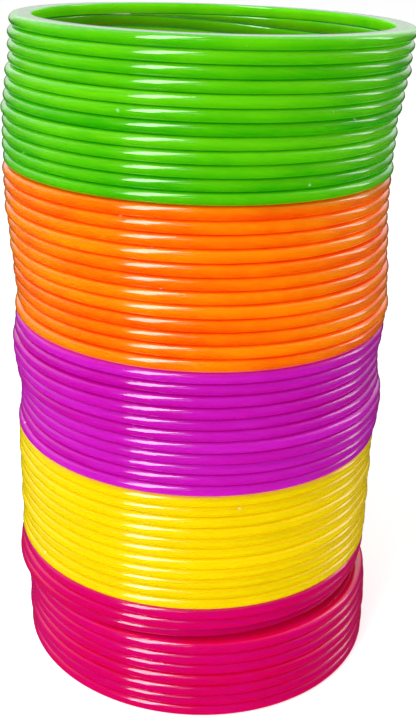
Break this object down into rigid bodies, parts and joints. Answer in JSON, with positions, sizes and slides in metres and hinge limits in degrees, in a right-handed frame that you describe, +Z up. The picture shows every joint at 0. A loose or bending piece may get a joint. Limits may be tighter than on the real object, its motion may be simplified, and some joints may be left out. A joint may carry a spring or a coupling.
{
  "type": "spring coil toy",
  "caption": "Plastic coil spring toy: one strip wound into a closed pile of turns in five coloured sections, which stretches and arches.",
  "frame": {"origin": "on the table under the middle of the closed pile's bounding box", "axes": "+Z up along the pile, +Y towards the back, where the strip steps up from turn to turn and the arch hinges, +X to the right"},
  "size_m": [0.078, 0.077, 0.1301],
  "materials": {
    "pink_plastic": "gloss",
    "yellow_plastic": "gloss",
    "purple_plastic": "gloss",
    "orange_plastic": "gloss",
    "green_plastic": "gloss"
  },
  "bodies": {
    "pink_turn_01": {"pink_turn_01": "pink_plastic"},
    "pink_turn_02": {"pink_turn_02": "pink_plastic"},
    "pink_turn_03": {"pink_turn_03": "pink_plastic"},
    "pink_turn_04": {"pink_turn_04": "pink_plastic"},
    "pink_turn_05": {"pink_turn_05": "pink_plastic"},
    "pink_turn_06": {"pink_turn_06": "pink_plastic"},
    "pink_turn_07": {"pink_turn_07": "pink_plastic"},
    "pink_turn_08": {"pink_turn_08": "pink_plastic"},
    "pink_turn_09": {"pink_turn_09": "pink_plastic"},
    "pink_turn_10": {"pink_turn_10": "pink_plastic"},
    "yellow_turn_01": {"yellow_turn_01": "yellow_plastic"},
    "yellow_turn_02": {"yellow_turn_02": "yellow_plastic"},
    "yellow_turn_03": {"yellow_turn_03": "yellow_plastic"},
    "yellow_turn_04": {"yellow_turn_04": "yellow_plastic"},
    "yellow_turn_05": {"yellow_turn_05": "yellow_plastic"},
    "yellow_turn_06": {"yellow_turn_06": "yellow_plastic"},
    "yellow_turn_07": {"yellow_turn_07": "yellow_plastic"},
    "yellow_turn_08": {"yellow_turn_08": "yellow_plastic"},
    "yellow_turn_09": {"yellow_turn_09": "yellow_plastic"},
    "yellow_turn_10": {"yellow_turn_10": "yellow_plastic"},
    "yellow_turn_11": {"yellow_turn_11": "yellow_plastic"},
    "purple_turn_01": {"purple_turn_01": "purple_plastic"},
    "purple_turn_02": {"purple_turn_02": "purple_plastic"},
    "purple_turn_03": {"purple_turn_03": "purple_plastic"},
    "purple_turn_04": {"purple_turn_04": "purple_plastic"},
    "purple_turn_05": {"purple_turn_05": "purple_plastic"},
    "purple_turn_06": {"purple_turn_06": "purple_plastic"},
    "purple_turn_07": {"purple_turn_07": "purple_plastic"},
    "purple_turn_08": {"purple_turn_08": "purple_plastic"},
    "purple_turn_09": {"purple_turn_09": "purple_plastic"},
    "purple_turn_10": {"purple_turn_10": "purple_plastic"},
    "purple_turn_11": {"purple_turn_11": "purple_plastic"},
    "orange_turn_01": {"orange_turn_01": "orange_plastic"},
    "orange_turn_02": {"orange_turn_02": "orange_plastic"},
    "orange_turn_03": {"orange_turn_03": "orange_plastic"},
    "orange_turn_04": {"orange_turn_04": "orange_plastic"},
    "orange_turn_05": {"orange_turn_05": "orange_plastic"},
    "orange_turn_06": {"orange_turn_06": "orange_plastic"},
    "orange_turn_07": {"orange_turn_07": "orange_plastic"},
    "orange_turn_08": {"orange_turn_08": "orange_plastic"},
    "orange_turn_09": {"orange_turn_09": "orange_plastic"},
    "orange_turn_10": {"orange_turn_10": "orange_plastic"},
    "orange_turn_11": {"orange_turn_11": "orange_plastic"},
    "orange_turn_12": {"orange_turn_12": "orange_plastic"},
    "green_turn_01": {"green_turn_01": "green_plastic"},
    "green_turn_02": {"green_turn_02": "green_plastic"},
    "green_turn_03": {"green_turn_03": "green_plastic"},
    "green_turn_04": {"green_turn_04": "green_plastic"},
    "green_turn_05": {"green_turn_05": "green_plastic"},
    "green_turn_06": {"green_turn_06": "green_plastic"},
    "green_turn_07": {"green_turn_07": "green_plastic"},
    "green_turn_08": {"green_turn_08": "green_plastic"},
    "green_turn_09": {"green_turn_09": "green_plastic"},
    "green_turn_10": {"green_turn_10": "green_plastic"},
    "green_turn_11": {"green_turn_11": "green_plastic"},
    "green_turn_12": {"green_turn_12": "green_plastic"}
  },
  "joints": [
    {"name": "stretch_01", "type": "slide", "parent": "pink_turn_01", "child": "pink_turn_02", "axis": [0, 0, 1], "range_m": [0, 0.015], "stiffness_N_per_m": 1056.4, "springref_m": 0.001},
    {"name": "bend_01", "type": "hinge", "parent": "pink_turn_02", "child": "pink_turn_03", "pos_m": [0, 0.0387, 0.00486], "axis": [-1, 0, 0], "range_deg": [0, 6.6], "stiffness_Nm_per_rad": 2.007, "springref_deg": 1.15},
    {"name": "stretch_02", "type": "slide", "parent": "pink_turn_03", "child": "pink_turn_04", "axis": [0, 0, 1], "range_m": [0, 0.015], "stiffness_N_per_m": 1018, "springref_m": 0.001},
    {"name": "bend_02", "type": "hinge", "parent": "pink_turn_04", "child": "pink_turn_05", "pos_m": [0, 0.0387, 0.00982], "axis": [-1, 0, 0], "range_deg": [0, 6.6], "stiffness_Nm_per_rad": 1.933, "springref_deg": 1.15},
    {"name": "stretch_03", "type": "slide", "parent": "pink_turn_05", "child": "pink_turn_06", "axis": [0, 0, 1], "range_m": [0, 0.015], "stiffness_N_per_m": 979.6, "springref_m": 0.001},
    {"name": "bend_03", "type": "hinge", "parent": "pink_turn_06", "child": "pink_turn_07", "pos_m": [0, 0.0387, 0.01478], "axis": [-1, 0, 0], "range_deg": [0, 6.6], "stiffness_Nm_per_rad": 1.858, "springref_deg": 1.15},
    {"name": "stretch_04", "type": "slide", "parent": "pink_turn_07", "child": "pink_turn_08", "axis": [0, 0, 1], "range_m": [0, 0.015], "stiffness_N_per_m": 941.2, "springref_m": 0.001},
    {"name": "bend_04", "type": "hinge", "parent": "pink_turn_08", "child": "pink_turn_09", "pos_m": [0, 0.0387, 0.01974], "axis": [-1, 0, 0], "range_deg": [0, 6.6], "stiffness_Nm_per_rad": 1.784, "springref_deg": 1.15},
    {"name": "stretch_05", "type": "slide", "parent": "pink_turn_09", "child": "pink_turn_10", "axis": [0, 0, 1], "range_m": [0, 0.015], "stiffness_N_per_m": 902.8, "springref_m": 0.001},
    {"name": "bend_05", "type": "hinge", "parent": "pink_turn_10", "child": "yellow_turn_01", "pos_m": [0, 0.0387, 0.0247], "axis": [-1, 0, 0], "range_deg": [0, 6.6], "stiffness_Nm_per_rad": 1.71, "springref_deg": 1.15},
    {"name": "stretch_06", "type": "slide", "parent": "yellow_turn_01", "child": "yellow_turn_02", "axis": [0, 0, 1], "range_m": [0, 0.015], "stiffness_N_per_m": 864.4, "springref_m": 0.001},
    {"name": "bend_06", "type": "hinge", "parent": "yellow_turn_02", "child": "yellow_turn_03", "pos_m": [0, 0.0387, 0.02918], "axis": [-1, 0, 0], "range_deg": [0, 6.6], "stiffness_Nm_per_rad": 1.635, "springref_deg": 1.15},
    {"name": "stretch_07", "type": "slide", "parent": "yellow_turn_03", "child": "yellow_turn_04", "axis": [0, 0, 1], "range_m": [0, 0.015], "stiffness_N_per_m": 825.9, "springref_m": 0.001},
    {"name": "bend_07", "type": "hinge", "parent": "yellow_turn_04", "child": "yellow_turn_05", "pos_m": [0, 0.0387, 0.03366], "axis": [-1, 0, 0], "range_deg": [0, 6.6], "stiffness_Nm_per_rad": 1.561, "springref_deg": 1.15},
    {"name": "stretch_08", "type": "slide", "parent": "yellow_turn_05", "child": "yellow_turn_06", "axis": [0, 0, 1], "range_m": [0, 0.015], "stiffness_N_per_m": 787.5, "springref_m": 0.001},
    {"name": "bend_08", "type": "hinge", "parent": "yellow_turn_06", "child": "yellow_turn_07", "pos_m": [0, 0.0387, 0.03814], "axis": [-1, 0, 0], "range_deg": [0, 6.6], "stiffness_Nm_per_rad": 1.487, "springref_deg": 1.15},
    {"name": "stretch_09", "type": "slide", "parent": "yellow_turn_07", "child": "yellow_turn_08", "axis": [0, 0, 1], "range_m": [0, 0.015], "stiffness_N_per_m": 749.1, "springref_m": 0.001},
    {"name": "bend_09", "type": "hinge", "parent": "yellow_turn_08", "child": "yellow_turn_09", "pos_m": [0, 0.0387, 0.04262], "axis": [-1, 0, 0], "range_deg": [0, 6.6], "stiffness_Nm_per_rad": 1.412, "springref_deg": 1.15},
    {"name": "stretch_10", "type": "slide", "parent": "yellow_turn_09", "child": "yellow_turn_10", "axis": [0, 0, 1], "range_m": [0, 0.015], "stiffness_N_per_m": 710.7, "springref_m": 0.001},
    {"name": "bend_10", "type": "hinge", "parent": "yellow_turn_10", "child": "yellow_turn_11", "pos_m": [0, 0.0387, 0.0471], "axis": [-1, 0, 0], "range_deg": [0, 6.6], "stiffness_Nm_per_rad": 1.338, "springref_deg": 1.15},
    {"name": "stretch_11", "type": "slide", "parent": "yellow_turn_11", "child": "purple_turn_01", "axis": [0, 0, 1], "range_m": [0, 0.015], "stiffness_N_per_m": 672.3, "springref_m": 0.001},
    {"name": "bend_11", "type": "hinge", "parent": "purple_turn_01", "child": "purple_turn_02", "pos_m": [0, 0.0387, 0.05156], "axis": [-1, 0, 0], "range_deg": [0, 6.6], "stiffness_Nm_per_rad": 1.264, "springref_deg": 1.15},
    {"name": "stretch_12", "type": "slide", "parent": "purple_turn_02", "child": "purple_turn_03", "axis": [0, 0, 1], "range_m": [0, 0.015], "stiffness_N_per_m": 633.9, "springref_m": 0.001},
    {"name": "bend_12", "type": "hinge", "parent": "purple_turn_03", "child": "purple_turn_04", "pos_m": [0, 0.0387, 0.056], "axis": [-1, 0, 0], "range_deg": [0, 6.6], "stiffness_Nm_per_rad": 1.189, "springref_deg": 1.15},
    {"name": "stretch_13", "type": "slide", "parent": "purple_turn_04", "child": "purple_turn_05", "axis": [0, 0, 1], "range_m": [0, 0.015], "stiffness_N_per_m": 595.4, "springref_m": 0.001},
    {"name": "bend_13", "type": "hinge", "parent": "purple_turn_05", "child": "purple_turn_06", "pos_m": [0, 0.0387, 0.06044], "axis": [-1, 0, 0], "range_deg": [0, 6.6], "stiffness_Nm_per_rad": 1.115, "springref_deg": 1.15},
    {"name": "stretch_14", "type": "slide", "parent": "purple_turn_06", "child": "purple_turn_07", "axis": [0, 0, 1], "range_m": [0, 0.015], "stiffness_N_per_m": 557, "springref_m": 0.001},
    {"name": "bend_14", "type": "hinge", "parent": "purple_turn_07", "child": "purple_turn_08", "pos_m": [0, 0.0387, 0.06488], "axis": [-1, 0, 0], "range_deg": [0, 6.6], "stiffness_Nm_per_rad": 1.041, "springref_deg": 1.15},
    {"name": "stretch_15", "type": "slide", "parent": "purple_turn_08", "child": "purple_turn_09", "axis": [0, 0, 1], "range_m": [0, 0.015], "stiffness_N_per_m": 518.6, "springref_m": 0.001},
    {"name": "bend_15", "type": "hinge", "parent": "purple_turn_09", "child": "purple_turn_10", "pos_m": [0, 0.0387, 0.06932], "axis": [-1, 0, 0], "range_deg": [0, 6.6], "stiffness_Nm_per_rad": 0.9664, "springref_deg": 1.15},
    {"name": "stretch_16", "type": "slide", "parent": "purple_turn_10", "child": "purple_turn_11", "axis": [0, 0, 1], "range_m": [0, 0.015], "stiffness_N_per_m": 480.2, "springref_m": 0.001},
    {"name": "bend_16", "type": "hinge", "parent": "purple_turn_11", "child": "orange_turn_01", "pos_m": [0, 0.0387, 0.07376], "axis": [-1, 0, 0], "range_deg": [0, 6.6], "stiffness_Nm_per_rad": 0.892, "springref_deg": 1.15},
    {"name": "stretch_17", "type": "slide", "parent": "orange_turn_01", "child": "orange_turn_02", "axis": [0, 0, 1], "range_m": [0, 0.015], "stiffness_N_per_m": 441.8, "springref_m": 0.001},
    {"name": "bend_17", "type": "hinge", "parent": "orange_turn_02", "child": "orange_turn_03", "pos_m": [0, 0.0387, 0.07868], "axis": [-1, 0, 0], "range_deg": [0, 6.6], "stiffness_Nm_per_rad": 0.8177, "springref_deg": 1.15},
    {"name": "stretch_18", "type": "slide", "parent": "orange_turn_03", "child": "orange_turn_04", "axis": [0, 0, 1], "range_m": [0, 0.015], "stiffness_N_per_m": 403.4, "springref_m": 0.001},
    {"name": "bend_18", "type": "hinge", "parent": "orange_turn_04", "child": "orange_turn_05", "pos_m": [0, 0.0387, 0.0836], "axis": [-1, 0, 0], "range_deg": [0, 6.6], "stiffness_Nm_per_rad": 0.7433, "springref_deg": 1.15},
    {"name": "stretch_19", "type": "slide", "parent": "orange_turn_05", "child": "orange_turn_06", "axis": [0, 0, 1], "range_m": [0, 0.015], "stiffness_N_per_m": 365, "springref_m": 0.001},
    {"name": "bend_19", "type": "hinge", "parent": "orange_turn_06", "child": "orange_turn_07", "pos_m": [0, 0.0387, 0.08852], "axis": [-1, 0, 0], "range_deg": [0, 6.6], "stiffness_Nm_per_rad": 0.669, "springref_deg": 1.15},
    {"name": "stretch_20", "type": "slide", "parent": "orange_turn_07", "child": "orange_turn_08", "axis": [0, 0, 1], "range_m": [0, 0.015], "stiffness_N_per_m": 326.5, "springref_m": 0.001},
    {"name": "bend_20", "type": "hinge", "parent": "orange_turn_08", "child": "orange_turn_09", "pos_m": [0, 0.0387, 0.09344], "axis": [-1, 0, 0], "range_deg": [0, 6.6], "stiffness_Nm_per_rad": 0.5947, "springref_deg": 1.15},
    {"name": "stretch_21", "type": "slide", "parent": "orange_turn_09", "child": "orange_turn_10", "axis": [0, 0, 1], "range_m": [0, 0.015], "stiffness_N_per_m": 288.1, "springref_m": 0.001},
    {"name": "bend_21", "type": "hinge", "parent": "orange_turn_10", "child": "orange_turn_11", "pos_m": [0, 0.0387, 0.09836], "axis": [-1, 0, 0], "range_deg": [0, 6.6], "stiffness_Nm_per_rad": 0.5203, "springref_deg": 1.15},
    {"name": "stretch_22", "type": "slide", "parent": "orange_turn_11", "child": "orange_turn_12", "axis": [0, 0, 1], "range_m": [0, 0.015], "stiffness_N_per_m": 249.7, "springref_m": 0.001},
    {"name": "bend_22", "type": "hinge", "parent": "orange_turn_12", "child": "green_turn_01", "pos_m": [0, 0.0387, 0.10328], "axis": [-1, 0, 0], "range_deg": [0, 6.6], "stiffness_Nm_per_rad": 0.446, "springref_deg": 1.15},
    {"name": "stretch_23", "type": "slide", "parent": "green_turn_01", "child": "green_turn_02", "axis": [0, 0, 1], "range_m": [0, 0.015], "stiffness_N_per_m": 211.3, "springref_m": 0.001},
    {"name": "bend_23", "type": "hinge", "parent": "green_turn_02", "child": "green_turn_03", "pos_m": [0, 0.0387, 0.10776], "axis": [-1, 0, 0], "range_deg": [0, 6.6], "stiffness_Nm_per_rad": 0.3717, "springref_deg": 1.15},
    {"name": "stretch_24", "type": "slide", "parent": "green_turn_03", "child": "green_turn_04", "axis": [0, 0, 1], "range_m": [0, 0.015], "stiffness_N_per_m": 172.9, "springref_m": 0.001},
    {"name": "bend_24", "type": "hinge", "parent": "green_turn_04", "child": "green_turn_05", "pos_m": [0, 0.0387, 0.11224], "axis": [-1, 0, 0], "range_deg": [0, 6.6], "stiffness_Nm_per_rad": 0.2973, "springref_deg": 1.15},
    {"name": "stretch_25", "type": "slide", "parent": "green_turn_05", "child": "green_turn_06", "axis": [0, 0, 1], "range_m": [0, 0.015], "stiffness_N_per_m": 134.5, "springref_m": 0.001},
    {"name": "bend_25", "type": "hinge", "parent": "green_turn_06", "child": "green_turn_07", "pos_m": [0, 0.0387, 0.11672], "axis": [-1, 0, 0], "range_deg": [0, 6.6], "stiffness_Nm_per_rad": 0.223, "springref_deg": 1.15},
    {"name": "stretch_26", "type": "slide", "parent": "green_turn_07", "child": "green_turn_08", "axis": [0, 0, 1], "range_m": [0, 0.015], "stiffness_N_per_m": 96, "springref_m": 0.001},
    {"name": "bend_26", "type": "hinge", "parent": "green_turn_08", "child": "green_turn_09", "pos_m": [0, 0.0387, 0.1212], "axis": [-1, 0, 0], "range_deg": [0, 6.6], "stiffness_Nm_per_rad": 0.1487, "springref_deg": 1.15},
    {"name": "stretch_27", "type": "slide", "parent": "green_turn_09", "child": "green_turn_10", "axis": [0, 0, 1], "range_m": [0, 0.015], "stiffness_N_per_m": 57.6, "springref_m": 0.001},
    {"name": "bend_27", "type": "hinge", "parent": "green_turn_10", "child": "green_turn_11", "pos_m": [0, 0.0387, 0.12568], "axis": [-1, 0, 0], "range_deg": [0, 6.6], "stiffness_Nm_per_rad": 0.07433, "springref_deg": 1.15},
    {"name": "stretch_28", "type": "slide", "parent": "green_turn_11", "child": "green_turn_12", "axis": [0, 0, 1], "range_m": [0, 0.015], "stiffness_N_per_m": 19.2, "springref_m": 0.001}
  ],
  "couplings": [
    {"joint": "stretch_02", "follows": "stretch_01", "ratio": 1},
    {"joint": "bend_02", "follows": "bend_01", "ratio": 1},
    {"joint": "stretch_03", "follows": "stretch_01", "ratio": 1},
    {"joint": "bend_03", "follows": "bend_01", "ratio": 1},
    {"joint": "stretch_04", "follows": "stretch_01", "ratio": 1},
    {"joint": "bend_04", "follows": "bend_01", "ratio": 1},
    {"joint": "stretch_05", "follows": "stretch_01", "ratio": 1},
    {"joint": "bend_05", "follows": "bend_01", "ratio": 1},
    {"joint": "stretch_06", "follows": "stretch_01", "ratio": 1},
    {"joint": "bend_06", "follows": "bend_01", "ratio": 1},
    {"joint": "stretch_07", "follows": "stretch_01", "ratio": 1},
    {"joint": "bend_07", "follows": "bend_01", "ratio": 1},
    {"joint": "stretch_08", "follows": "stretch_01", "ratio": 1},
    {"joint": "bend_08", "follows": "bend_01", "ratio": 1},
    {"joint": "stretch_09", "follows": "stretch_01", "ratio": 1},
    {"joint": "bend_09", "follows": "bend_01", "ratio": 1},
    {"joint": "stretch_10", "follows": "stretch_01", "ratio": 1},
    {"joint": "bend_10", "follows": "bend_01", "ratio": 1},
    {"joint": "stretch_11", "follows": "stretch_01", "ratio": 1},
    {"joint": "bend_11", "follows": "bend_01", "ratio": 1},
    {"joint": "stretch_12", "follows": "stretch_01", "ratio": 1},
    {"joint": "bend_12", "follows": "bend_01", "ratio": 1},
    {"joint": "stretch_13", "follows": "stretch_01", "ratio": 1},
    {"joint": "bend_13", "follows": "bend_01", "ratio": 1},
    {"joint": "stretch_14", "follows": "stretch_01", "ratio": 1},
    {"joint": "bend_14", "follows": "bend_01", "ratio": 1},
    {"joint": "stretch_15", "follows": "stretch_01", "ratio": 1},
    {"joint": "bend_15", "follows": "bend_01", "ratio": 1},
    {"joint": "stretch_16", "follows": "stretch_01", "ratio": 1},
    {"joint": "bend_16", "follows": "bend_01", "ratio": 1},
    {"joint": "stretch_17", "follows": "stretch_01", "ratio": 1},
    {"joint": "bend_17", "follows": "bend_01", "ratio": 1},
    {"joint": "stretch_18", "follows": "stretch_01", "ratio": 1},
    {"joint": "bend_18", "follows": "bend_01", "ratio": 1},
    {"joint": "stretch_19", "follows": "stretch_01", "ratio": 1},
    {"joint": "bend_19", "follows": "bend_01", "ratio": 1},
    {"joint": "stretch_20", "follows": "stretch_01", "ratio": 1},
    {"joint": "bend_20", "follows": "bend_01", "ratio": 1},
    {"joint": "stretch_21", "follows": "stretch_01", "ratio": 1},
    {"joint": "bend_21", "follows": "bend_01", "ratio": 1},
    {"joint": "stretch_22", "follows": "stretch_01", "ratio": 1},
    {"joint": "bend_22", "follows": "bend_01", "ratio": 1},
    {"joint": "stretch_23", "follows": "stretch_01", "ratio": 1},
    {"joint": "bend_23", "follows": "bend_01", "ratio": 1},
    {"joint": "stretch_24", "follows": "stretch_01", "ratio": 1},
    {"joint": "bend_24", "follows": "bend_01", "ratio": 1},
    {"joint": "stretch_25", "follows": "stretch_01", "ratio": 1},
    {"joint": "bend_25", "follows": "bend_01", "ratio": 1},
    {"joint": "stretch_26", "follows": "stretch_01", "ratio": 1},
    {"joint": "bend_26", "follows": "bend_01", "ratio": 1},
    {"joint": "stretch_27", "follows": "stretch_01", "ratio": 1},
    {"joint": "bend_27", "follows": "bend_01", "ratio": 1},
    {"joint": "stretch_28", "follows": "stretch_01", "ratio": 1}
  ]
}
